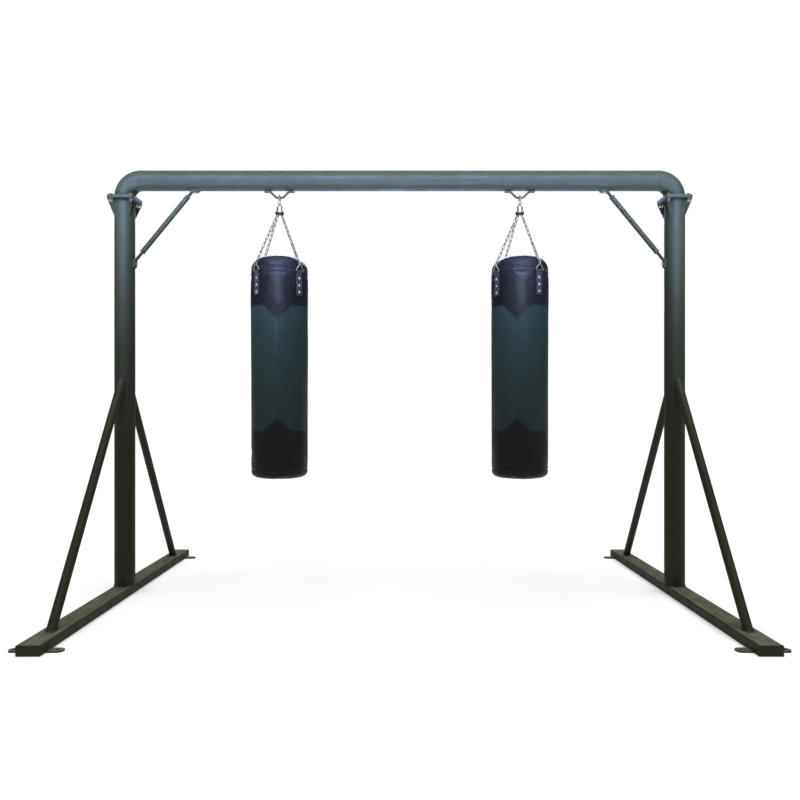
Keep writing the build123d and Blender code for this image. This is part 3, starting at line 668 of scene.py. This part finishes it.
class Skin:
    """The bag's cover as a grid: rows along the outline, columns round the axis."""

    def __init__(self, seed):
        self.radius, self.height, self.at, self.length = bag_outline(START_INSET)
        self.rows = len(self.radius)
        angles = np.arange(COLUMNS) * TURN / COLUMNS
        self.angles = angles
        ring = np.stack([np.sin(angles), -np.cos(angles)], axis=1)
        grid = np.empty((self.rows, COLUMNS, 3))
        grid[:, :, :2] = self.radius[:, None, None] * ring[None]
        grid[:, :, 2] = self.height[:, None]
        self.grid = grid
        self.poles = np.array([(0, 0, self.height[0]), (0, 0, self.height[-1])])
        self.random = random.Random(seed)

    def faces(self):
        faces = ring_faces(self.rows, COLUMNS)
        last = (self.rows - 1) * COLUMNS
        pole = self.rows * COLUMNS
        for j in range(COLUMNS):
            k = (j + 1) % COLUMNS
            faces.append((pole, k, j))
            faces.append((pole + 1, last + j, last + k))
        return faces

    def points(self):
        return np.vstack([self.grid.reshape(-1, 3), self.poles])

    def lump(self):
        """Slow swells and hollows of a packed filling."""
        for _ in range(LUMPS):
            angle = self.random.uniform(0, TURN)
            z = self.random.uniform(0.72, 1.70)
            reach = self.random.uniform(0.05, 0.11)
            depth = self.random.uniform(-0.0016, 0.0012)
            turn = (self.angles[None, :] - angle + math.pi) % TURN - math.pi
            far = (turn * BAG_R) ** 2 + ((self.grid[:, :, 2] - z) * 1.5) ** 2
            self.push(depth * np.exp(-far / reach ** 2))

    def push(self, outward):
        """Moves the side of the cover away from the axis."""
        side = np.clip(self.radius / BAG_R, 0, 1) ** 6
        flat = self.grid[:, :, :2]
        norm = np.linalg.norm(flat, axis=2, keepdims=True)
        self.grid[:, :, :2] = flat * (1 + (outward * side[:, None])[:, :, None] / np.maximum(norm, 1e-6))

    def held(self):
        """How firmly each point is held: seams, strap seats and the middles of lid and base."""
        z = self.height[:, None]
        seams = np.exp(-((z - SEAM_LOW) / 0.007) ** 2) + np.exp(-((z - SEAM_HIGH) / 0.007) ** 2)
        middle = (self.radius[:, None] < POLE_PIN_R) * 1.0
        return np.clip(seams + middle + self.strap_patch(0.006), 0, 1)

    def strap_patch(self, soft):
        """1 below the straps, falling off over a soft margin."""
        patch = np.zeros((self.rows, COLUMNS))
        z = self.height[:, None]
        tall = 1 / (1 + np.exp(-(z - STRAP_BOTTOM_Z + 0.004) / soft * 2))
        tall = tall / (1 + np.exp((z - RING_BAR_Z) / soft * 2))
        tall = tall * (self.radius[:, None] > BAG_R * 0.9)
        for azimuth in STRAP_AZIMUTHS:
            turn = (self.angles[None, :] - math.radians(azimuth + 90) + math.pi) % TURN - math.pi
            wide = 1 / (1 + np.exp((np.abs(turn) * BAG_R - STRAP_HALF_W - 0.004) / soft * 2))
            patch = np.maximum(patch, tall * wide)
        return patch

    def settle(self):
        """After the simulation: dips at the seams, seats below the straps, crowned lid and base."""
        z = self.height[:, None] + np.zeros((1, COLUMNS))
        for seam in (SEAM_LOW, SEAM_HIGH):
            self.push(-SEAM_DIP * np.exp(-((z - seam) / 0.006) ** 2))
        flat = self.grid[:, :, :2]
        norm = np.linalg.norm(flat, axis=2)
        patch = self.strap_patch(0.005)
        seat = BAG_R - STRAP_SEAT
        wanted = norm + (np.minimum(norm, seat) - norm) * np.clip(patch * 1.5, 0, 1)
        self.grid[:, :, :2] = flat * (wanted / np.maximum(norm, 1e-9))[:, :, None]
        crown = LID_CROWN * np.clip(1 - (self.radius / (BAG_R - SHOULDER_R)) ** 2, 0, 1)
        half = self.height > 1.0
        self.grid[:, :, 2] += np.where(half, crown, -crown * 0.6)[:, None]
        self.poles[0, 2] = self.grid[0, :, 2].mean()
        self.poles[1, 2] = self.grid[-1, :, 2].mean()

    def point(self, at, angle):
        """Point on the cover at a distance along the outline and an angle from the front."""
        row = np.clip(np.interp(at, self.at, np.arange(self.rows)), 0, self.rows - 1.001)
        column = (angle % TURN) / TURN * COLUMNS
        i, j = int(row), int(column)
        u, v = row - i, column - j
        j, k = j % COLUMNS, (j + 1) % COLUMNS
        return ((1 - u) * ((1 - v) * self.grid[i, j] + v * self.grid[i, k])
                + u * ((1 - v) * self.grid[i + 1, j] + v * self.grid[i + 1, k]))

    def place(self, at, angle):
        """Point, direction up the outline, direction round the bag and outward normal."""
        step = 0.004
        reach = max(0.02, float(np.interp(at, self.at, self.radius)))
        point = self.point(at, angle)
        up = self.point(at + step, angle) - self.point(at - step, angle)
        turn = step / reach
        around = self.point(at, angle + turn) - self.point(at, angle - turn)
        up /= np.linalg.norm(up)
        around /= np.linalg.norm(around)
        out = np.cross(around, up)
        return point, up, around, out / np.linalg.norm(out)

    def at_height(self, z):
        side = self.radius > BAG_R * 0.7
        return float(np.interp(z, self.height[side], self.at[side]))


def simulate(name, skin):
    """Cloth with pressure, gravity off, held at its seams and straps; the result replaces the grid."""
    piece = mesh_object(name + "_rest", skin.points(), skin.faces(), TRIM)
    group = piece.vertex_groups.new(name="held")
    held = np.concatenate([skin.held().ravel(), [1.0, 1.0]])
    for index, weight in enumerate(held):
        if weight > 0.02:
            group.add([index], float(weight), "REPLACE")
    cloth = piece.modifiers.new("Cloth", "CLOTH")
    s = cloth.settings
    s.quality = 4
    s.mass = 0.25
    s.tension_stiffness = 20
    s.compression_stiffness = 20
    s.shear_stiffness = 8
    s.bending_stiffness = 1.2
    s.use_pressure = True
    s.uniform_pressure_force = PRESSURE
    s.vertex_group_mass = "held"
    s.shrink_min = SHRINK
    s.effector_weights.gravity = 0
    for number in range(1, SIM_FRAMES + 1):
        SCENE.frame_set(number)
    depsgraph = bpy.context.evaluated_depsgraph_get()
    result = piece.evaluated_get(depsgraph).data
    found = np.empty(len(result.vertices) * 3)
    result.vertices.foreach_get("co", found)
    before = skin.points()
    moved = found.reshape(-1, 3) - before
    far = np.linalg.norm(moved, axis=1, keepdims=True)
    moved *= SIM_CAP * np.tanh(far / SIM_CAP) / np.maximum(far, 1e-9)
    after = before + moved
    skin.grid = after[:-2].reshape(skin.rows, COLUMNS, 3)
    piece.modifiers.remove(cloth)
    mesh = piece.data
    bpy.data.objects.remove(piece)
    bpy.data.meshes.remove(mesh)
    SCENE.frame_set(1)


STITCH_LENGTH = 0.0036
STITCH_PITCH = 0.0046
STITCH_R = 0.00055


def stitch(pieces, middle, along, out, length=STITCH_LENGTH):
    """One stitch: a short thread, its ends drawn into the material."""
    middle, along, out = (np.asarray(v, float) for v in (middle, along, out))
    path = [middle + along * length * t + out * (STITCH_R * (1.0 - 7.0 * t * t))
            for t in (-0.5, -0.3, 0.0, 0.3, 0.5)]
    pieces.add(*tube(path, [STITCH_R * k for k in (0.55, 0.95, 1.0, 0.95, 0.55)], 6, up=out))


def ring_of_stitches(pieces, skin, at):
    radius = float(np.interp(at, skin.at, skin.radius))
    count = int(TURN * radius / STITCH_PITCH)
    for k in range(count):
        point, _, around, out = skin.place(at, TURN * k / count)
        stitch(pieces, point, around, out)


def seam_ring(skin, at, radius):
    """Piping round the bag."""
    path = []
    for k in range(PIPING_POINTS):
        point, _, _, out = skin.place(at, TURN * k / PIPING_POINTS)
        path.append(point + out * radius * 0.55)
    return tube(path, [radius] * len(path), 10, True)


BACK_SEAM_HALF_W = 0.009
BACK_SEAM_T = 0.0011
BACK_SEAM_ROWS = 150


def back_seam(skin):
    """Lapped seam up the middle of the back."""
    profile = []
    for t in np.linspace(-1, 1, 9):
        profile.append((t * BACK_SEAM_HALF_W, 1.0 if abs(t) < 0.99 else 0.4))
    for t in np.linspace(1, -1, 5):
        profile.append((t * BACK_SEAM_HALF_W, -0.8))
    low, high = skin.at_height(SEAM_LOW + 0.003), skin.at_height(SEAM_HIGH - 0.003)
    points = []
    for at in np.linspace(low, high, BACK_SEAM_ROWS):
        reach = max(0.02, float(np.interp(at, skin.at, skin.radius)))
        for offset, height in profile:
            point, _, _, out = skin.place(at, math.pi + offset / reach)
            points.append(point + out * (height * BACK_SEAM_T))
    return points, closed_faces(BACK_SEAM_ROWS, len(profile))


def back_stitches(pieces, skin):
    low, high = skin.at_height(SEAM_LOW + 0.006), skin.at_height(SEAM_HIGH - 0.006)
    for offset in (-0.006, 0.006):
        angle = math.pi + offset / BAG_R
        for at in np.arange(low, high, STITCH_PITCH):
            point, up, _, out = skin.place(at, angle)
            stitch(pieces, point + out * BACK_SEAM_T, up, out)


# ---- zip across the lid, through which the bag is filled

ZIP_HALF_L = 0.098
ZIP_TAPE_HALF_W = 0.013
TAPE_SECTION = (
    (0.0012, 0.0002), (0.0012, 0.0012), (0.006, 0.0014),
    (ZIP_TAPE_HALF_W, 0.0010), (ZIP_TAPE_HALF_W, -0.0010), (0.006, -0.001))
TOOTH_PITCH = 0.0030


def lid_point(skin, x, y, lift):
    """Point above the lid at x, y."""
    radius = max(math.hypot(x, y), 0.004)
    angle = math.atan2(x, -y)
    at = skin.length - radius
    inside = float(np.clip(radius / 0.004, 0, 1))
    point, _, _, out = skin.place(min(at, skin.at[-1]), angle)
    point = np.array((x, y, point[2]))
    return point + (out * inside + np.array((0, 0, 1 - inside))) * lift


def box_shape(centre, half, along, up):
    """Points and faces of a small block with chamfered top edges."""
    along, up = np.asarray(along, float), np.asarray(up, float)
    side = np.cross(up, along)
    layers = ((-1, 1.0), (0.55, 1.0), (1, 0.72))
    points = []
    for height, shrink in layers:
        for sx, sy in ((-1, -1), (1, -1), (1, 1), (-1, 1)):
            points.append(centre + along * sx * half[0] * shrink + side * sy * half[1] * shrink
                          + up * height * half[2])
    faces = ring_faces(3, 4) + [(3, 2, 1, 0), (8, 9, 10, 11)]
    return points, faces


def lid_zip(name, body, skin, matrix):
    """Two tapes, two rows of teeth, a slider and its pull, along X on the lid."""
    tape, metal = Pieces(), Pieces()
    xs = np.linspace(-ZIP_HALF_L, ZIP_HALF_L, 60)
    for side in (-1, 1):
        rows = []
        for x in xs:
            row = [lid_point(skin, x, side * offset, lift) for offset, lift in TAPE_SECTION]
            rows.append(row if side > 0 else row[::-1])
        faces = closed_faces(len(rows), len(TAPE_SECTION))
        tape.add([p for row in rows for p in row], [tuple(reversed(f)) for f in faces])
    for k, x in enumerate(np.arange(-ZIP_HALF_L + 0.004, ZIP_HALF_L - 0.004, TOOTH_PITCH / 2)):
        y = 0.0009 if k % 2 else -0.0009
        centre = lid_point(skin, x, y, 0.0016)
        metal.add(*box_shape(centre, (0.0006, 0.0017, 0.0009), (1, 0, 0), (0, 0, 1)))
    slider = lid_point(skin, -ZIP_HALF_L + 0.012, 0.0, 0.0035)
    metal.add(*box_shape(slider, (0.0065, 0.0045, 0.0022), (1, 0, 0), (0, 0, 1)))
    pull = [lid_point(skin, -ZIP_HALF_L + 0.012 + dx, 0.0, h)
            for dx, h in ((0.0, 0.0062), (0.004, 0.0072), (0.010, 0.0066), (0.022, 0.0052), (0.030, 0.0046))]
    metal.add(*tube(pull, [0.0011, 0.0013, 0.0020, 0.0024, 0.0018], 10))
    for shape, part, material, slot in ((tape, "_zip_tape", MATERIALS["strap_webbing"], "strap_webbing"),
                                        (metal, "_zip_teeth", MATERIALS["rivet_nickel"], "rivet_nickel")):
        piece = mesh_object(name + part, shape.points, shape.faces, material)
        add_weave(piece, [(p[1], p[0]) for p in shape.points])
        place_on_bag(piece, matrix, body)


def add_weave(piece, values):
    """Stores the across and along coordinates that the webbing's weave follows."""
    layer = piece.data.attributes.new("weave", "FLOAT_VECTOR", "POINT")
    flat = np.zeros((len(values), 3))
    flat[:, :2] = values
    layer.data.foreach_set("vector", flat.ravel())


def place_on_bag(piece, matrix, body):
    piece.matrix_world = matrix
    bpy.context.view_layer.update()
    finish_piece(piece, body)


# ---- straps

STRAP_T = 0.0023
STRAP_INNER = 0.1551
LOOP_R = 0.0049
STRAP_SAMPLES = 15
STRAP_STITCH = 0.0030
STRAP_STITCH_PITCH = 0.0040


def strap_route():
    """Radius and height of the strap's middle line: up the inner layer, over the ring, down the outer."""
    inner = STRAP_INNER + STRAP_T / 2
    outer = inner + STRAP_T + 0.0001
    lift = RING_BAR_Z - 0.017
    points = [(inner, z) for z in np.linspace(STRAP_BOTTOM_Z + 0.0015, lift, 22)]
    loop = [(RING_BAR_R + LOOP_R * math.cos(a), RING_BAR_Z + LOOP_R * math.sin(a))
            for a in np.linspace(math.radians(168), math.radians(-22), 13)]
    points += [(inner + 0.0001, RING_BAR_Z - 0.008)] + loop
    points += [(outer + 0.0024, RING_BAR_Z - 0.010)]
    points += [(outer, z) for z in np.linspace(lift, STRAP_BOTTOM_Z, 22)]
    return np.array(points)


def strap_section():
    """Offsets across the strap and through its thickness, round its rounded edges."""
    half, t = STRAP_HALF_W, STRAP_T / 2
    across = np.linspace(-(half - t), half - t, STRAP_SAMPLES)
    section = [(a, t) for a in across]
    section += [(half - t + t * math.sin(a), t * math.cos(a)) for a in np.linspace(0.5, 2.64, 5)]
    section += [(a, -t) for a in across[::-1]]
    section += [(-(half - t) - t * math.sin(a), -t * math.cos(a)) for a in np.linspace(0.5, 2.64, 5)]
    return section


def strap_mesh():
    """Webbing strap in its own coordinates: outwards along +X, on the bag's axis."""
    route = strap_route()
    along = np.gradient(route, axis=0)
    along /= np.linalg.norm(along, axis=1)[:, None]
    out = np.column_stack([along[:, 1], -along[:, 0]])
    travelled = np.concatenate([[0], np.cumsum(np.linalg.norm(np.diff(route, axis=0), axis=1))])
    section = strap_section()
    points, weave = [], []
    for (r, z), normal, s in zip(route, out, travelled):
        wobble = 0.0003 * math.sin(s * 130)
        for across, depth in section:
            radius = r - normal[0] * depth
            height = z - normal[1] * depth
            angle = (across + wobble) / BAG_R
            points.append((radius * math.cos(angle), radius * math.sin(angle), height))
            weave.append((across, s))
    return points, closed_faces(len(route), len(section)), weave


def strap_stitches():
    """Rows down both edges and across both ends of the outer layer."""
    pieces = Pieces()
    radius = STRAP_INNER + 2 * STRAP_T + 0.0001
    edge = STRAP_HALF_W - 0.0035
    low, high = STRAP_BOTTOM_Z + 0.004, RING_BAR_Z - 0.020

    def one(across, z, direction):
        a = across / BAG_R
        out = np.array((math.cos(a), math.sin(a), 0.0))
        middle = out * radius + np.array((0, 0, z))
        along = np.array((0, 0, 1.0) if direction == "up" else (-math.sin(a), math.cos(a), 0.0))
        stitch(pieces, middle, along, out, STRAP_STITCH)

    for z in np.arange(low, high, STRAP_STITCH_PITCH):
        one(-edge, z, "up")
        one(edge, z, "up")
    for across in np.arange(-edge + 0.003, edge - 0.001, STRAP_STITCH_PITCH):
        one(across, low, "across")
        one(across, high, "across")
    return pieces


def make_straps(name, body, matrix):
    points, faces, weave = strap_mesh()
    sewn = strap_stitches()
    webbing_material = MATERIALS["strap_webbing"]
    for number, azimuth in enumerate(STRAP_AZIMUTHS, 1):
        turned = matrix @ Matrix.Rotation(math.radians(azimuth), 4, "Z")
        strap = mesh_object(f"{name}_strap_{number}", points, faces, webbing_material)
        add_weave(strap, weave)
        place_on_bag(strap, turned, body)
        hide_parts(name + "_bag_straps")
        rows = mesh_object(f"{name}_strap_stitches_{number}", sewn.points, sewn.faces, THREAD)
        place_on_bag(rows, turned, body)


# ---- whole bag

def make_bag(name, seed):
    body = name + "_bag"
    low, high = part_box(name + "_bag_cover")
    middle = (low + high) / 2
    matrix = (Matrix.Translation((middle.x, middle.y, 0))
              @ Matrix.Rotation(math.radians(BAG_YAW[name]), 4, "Z"))
    skin = Skin(seed)
    skin.lump()
    simulate(name, skin)
    skin.settle()
    shell = mesh_object(name + "_bag_shell", skin.points(), skin.faces(), MATERIALS["bag_leather"])
    smooth = shell.modifiers.new("Smooth", "SUBSURF")
    smooth.levels = smooth.render_levels = 1
    place_on_bag(shell, matrix, body)
    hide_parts(name + "_bag_cover", name + "_bag_filling")

    trim, sewn = Pieces(), Pieces()
    for seam in (SEAM_LOW, SEAM_HIGH):
        at = skin.at_height(seam)
        trim.add(*seam_ring(skin, at, SEAM_PIPE_R))
        for offset in (-SEAM_STITCH_OFFSET, SEAM_STITCH_OFFSET):
            ring_of_stitches(sewn, skin, at + offset)
    trim.add(*back_seam(skin))
    back_stitches(sewn, skin)
    for part, shape, material in (("_bag_trim", trim, TRIM), ("_bag_stitches", sewn, THREAD)):
        piece = mesh_object(name + part, shape.points, shape.faces, material)
        place_on_bag(piece, matrix, body)
    lid_zip(name, body, skin, matrix)
    make_straps(name, body, matrix)


# ------------------------------------------------------------ CAD materials

def dress_cad_nodes():
    """Gives every CAD node the procedural material of its slot in the record."""
    for node in NODES.values():
        for slot in node.material_slots:
            slot.material = MATERIALS[slot.material.name.split(".")[0]]


# --------------------------------------------------------------------- stage

FLOOR_HALF = 40.0
FLOOR_Z = -0.0005

# Powers in watts; the sky and the camera's white are strengths
SKY = 0.12
SEEN_WHITE = 1.05
OVERHEAD = 3.5
COOL = (0.42, 0.555, 1.0)
PALE = (0.74, 0.86, 1.0)
HIGH_POWER = 130
LEVEL_POWER = 4
LOW_POWER = 36
MIDDLE_POWER = 4.6
GLOSS_POWER = 31
SIDE_POWER = 12
REAR_SHARE = 0.35


def floor():
    mesh = bpy.data.meshes.new("floor")
    corners = [(sx * FLOOR_HALF, sy * FLOOR_HALF, 0) for sx, sy in ((-1, -1), (1, -1), (1, 1), (-1, 1))]
    mesh.from_pydata(corners, [], [(0, 1, 2, 3)])
    f = Finish("floor", Roughness=0.9, Specular_IOR_Level=0.1)
    f.into("Base Color", f.mix(f.noise(0.6, 3.0), rgb(0.93, 0.93, 0.93), rgb(0.95, 0.95, 0.95)))
    mesh.materials.append(f.material)
    plane = bpy.data.objects.new("floor", mesh)
    plane.location.z = FLOOR_Z
    SCENE.collection.objects.link(plane)
    plane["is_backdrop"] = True


def add_light(name, kind, place, target, power, colour):
    light = bpy.data.lights.new(name, kind)
    light.energy = power
    light.color = colour
    lamp = bpy.data.objects.new(name, light)
    lamp.location = place
    lamp.rotation_mode = "QUATERNION"
    lamp.rotation_quaternion = (Vector(target) - Vector(place)).to_track_quat("-Z", "Y")
    lamp.visible_camera = False
    SCENE.collection.objects.link(lamp)
    return lamp


def panel(name, place, target, size, power, colour=(1, 1, 1), spread=180):
    lamp = add_light(name, "AREA", place, target, power, colour)
    lamp.data.shape = "RECTANGLE"
    lamp.data.size, lamp.data.size_y = size
    lamp.data.spread = math.radians(spread)
    return lamp


def surroundings():
    """A dim sky that lights the object, and plain white where the camera looks past it."""
    world = bpy.data.worlds.new("studio")
    world.use_nodes = True
    tree = world.node_tree
    ambient = tree.nodes["Background"]
    ambient.inputs["Color"].default_value = rgb(0.92, 0.95, 1.0)
    ambient.inputs["Strength"].default_value = SKY
    seen = tree.nodes.new("ShaderNodeBackground")
    seen.inputs["Color"].default_value = rgb(1, 1, 1)
    seen.inputs["Strength"].default_value = SEEN_WHITE
    path = tree.nodes.new("ShaderNodeLightPath")
    chosen = tree.nodes.new("ShaderNodeMixShader")
    tree.links.new(path.outputs["Is Camera Ray"], chosen.inputs[0])
    tree.links.new(ambient.outputs[0], chosen.inputs[1])
    tree.links.new(seen.outputs[0], chosen.inputs[2])
    tree.links.new(chosen.outputs[0], tree.nodes["World Output"].inputs["Surface"])
    SCENE.world = world


def receivers():
    """Collections of the painted, leather and webbing pieces, and of the bare metal ones."""
    soft = (MATERIALS["frame_paint"], MATERIALS["bag_leather"], MATERIALS["strap_webbing"], TRIM, THREAD)
    matt = bpy.data.collections.new("painted_and_leather")
    metal = bpy.data.collections.new("bare_metal")
    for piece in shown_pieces():
        painted = piece.material_slots[0].material in soft
        (matt if painted else metal).objects.link(piece)
    return matt, metal


def cool_panels(matt):
    """Long cool panels in front and behind, which only light the paint and the leather."""
    for name, end, share in (("front", -1, 1.0), ("rear", 1, REAR_SHARE)):
        high = panel("cool_high_" + name, (0, end * 1.9, 3.05), (0, 0, 2.18), (4.6, 0.6),
                     HIGH_POWER * share, COOL, 53)
        level = panel("cool_level_" + name, (0, end * 2.0, 2.40), (0, 0, 2.32), (4.6, 0.5),
                      LEVEL_POWER * share, COOL, 42)
        low = panel("cool_low_" + name, (0, end * 1.5, 0.90), (0, 0, 2.26), (4.6, 0.3),
                    LOW_POWER * share, COOL, 26)
        middle = panel("cool_middle_" + name, (0, end * 2.0, 1.95), (0, 0, 1.70), (4.6, 0.3),
                       MIDDLE_POWER * share, PALE, 24)
        for lamp in (high, level, low, middle):
            lamp.light_linking.receiver_collection = matt


def lights():
    """Soft light from above, cool panels for paint and leather, and white panels for metal."""
    surroundings()
    overhead = add_light("overhead", "SUN", (0.5, -0.9, 6.0), (0, 0, 0), OVERHEAD, (1, 1, 0.99))
    overhead.data.angle = math.radians(75)
    matt, metal = receivers()
    cool_panels(matt)
    for name, y in (("gloss_front", -3.0), ("gloss_rear", 3.0)):
        gloss = panel(name, (0, y, 3.0), (0, 0, 2.0), (4.4, 1.5), GLOSS_POWER, (0.97, 0.97, 1.0))
        gloss.light_linking.receiver_collection = metal
    panel("side_left", (-4.4, -3.0, 2.6), (-0.6, 0, 1.2), (2.0, 2.6), SIDE_POWER, (0.97, 0.98, 1.0))
    panel("side_right", (4.4, -2.6, 2.6), (0.6, 0, 1.2), (2.0, 2.6), SIDE_POWER, (1.0, 0.98, 0.95))


SENSOR = 36.0
LENS = 31.527
SHIFT_X = 0.000375
SHIFT_Y = 0.017
CAMERA_Y = -3.824
CAMERA_Z = 0.98


def camera():
    data = bpy.data.cameras.new("camera")
    data.sensor_width = SENSOR
    data.lens = LENS
    data.shift_x = SHIFT_X
    data.shift_y = SHIFT_Y
    eye = bpy.data.objects.new("camera", data)
    eye.location = (0.0, CAMERA_Y, CAMERA_Z)
    eye.rotation_euler = (math.pi / 2, 0.0, 0.0)
    SCENE.collection.objects.link(eye)
    SCENE.camera = eye


SCENE.view_settings.view_transform = "Standard"
camera()
floor()
dress_cad_nodes()
make_welds()
make_bag("left", 3)
make_bag("right", 8)
lights()
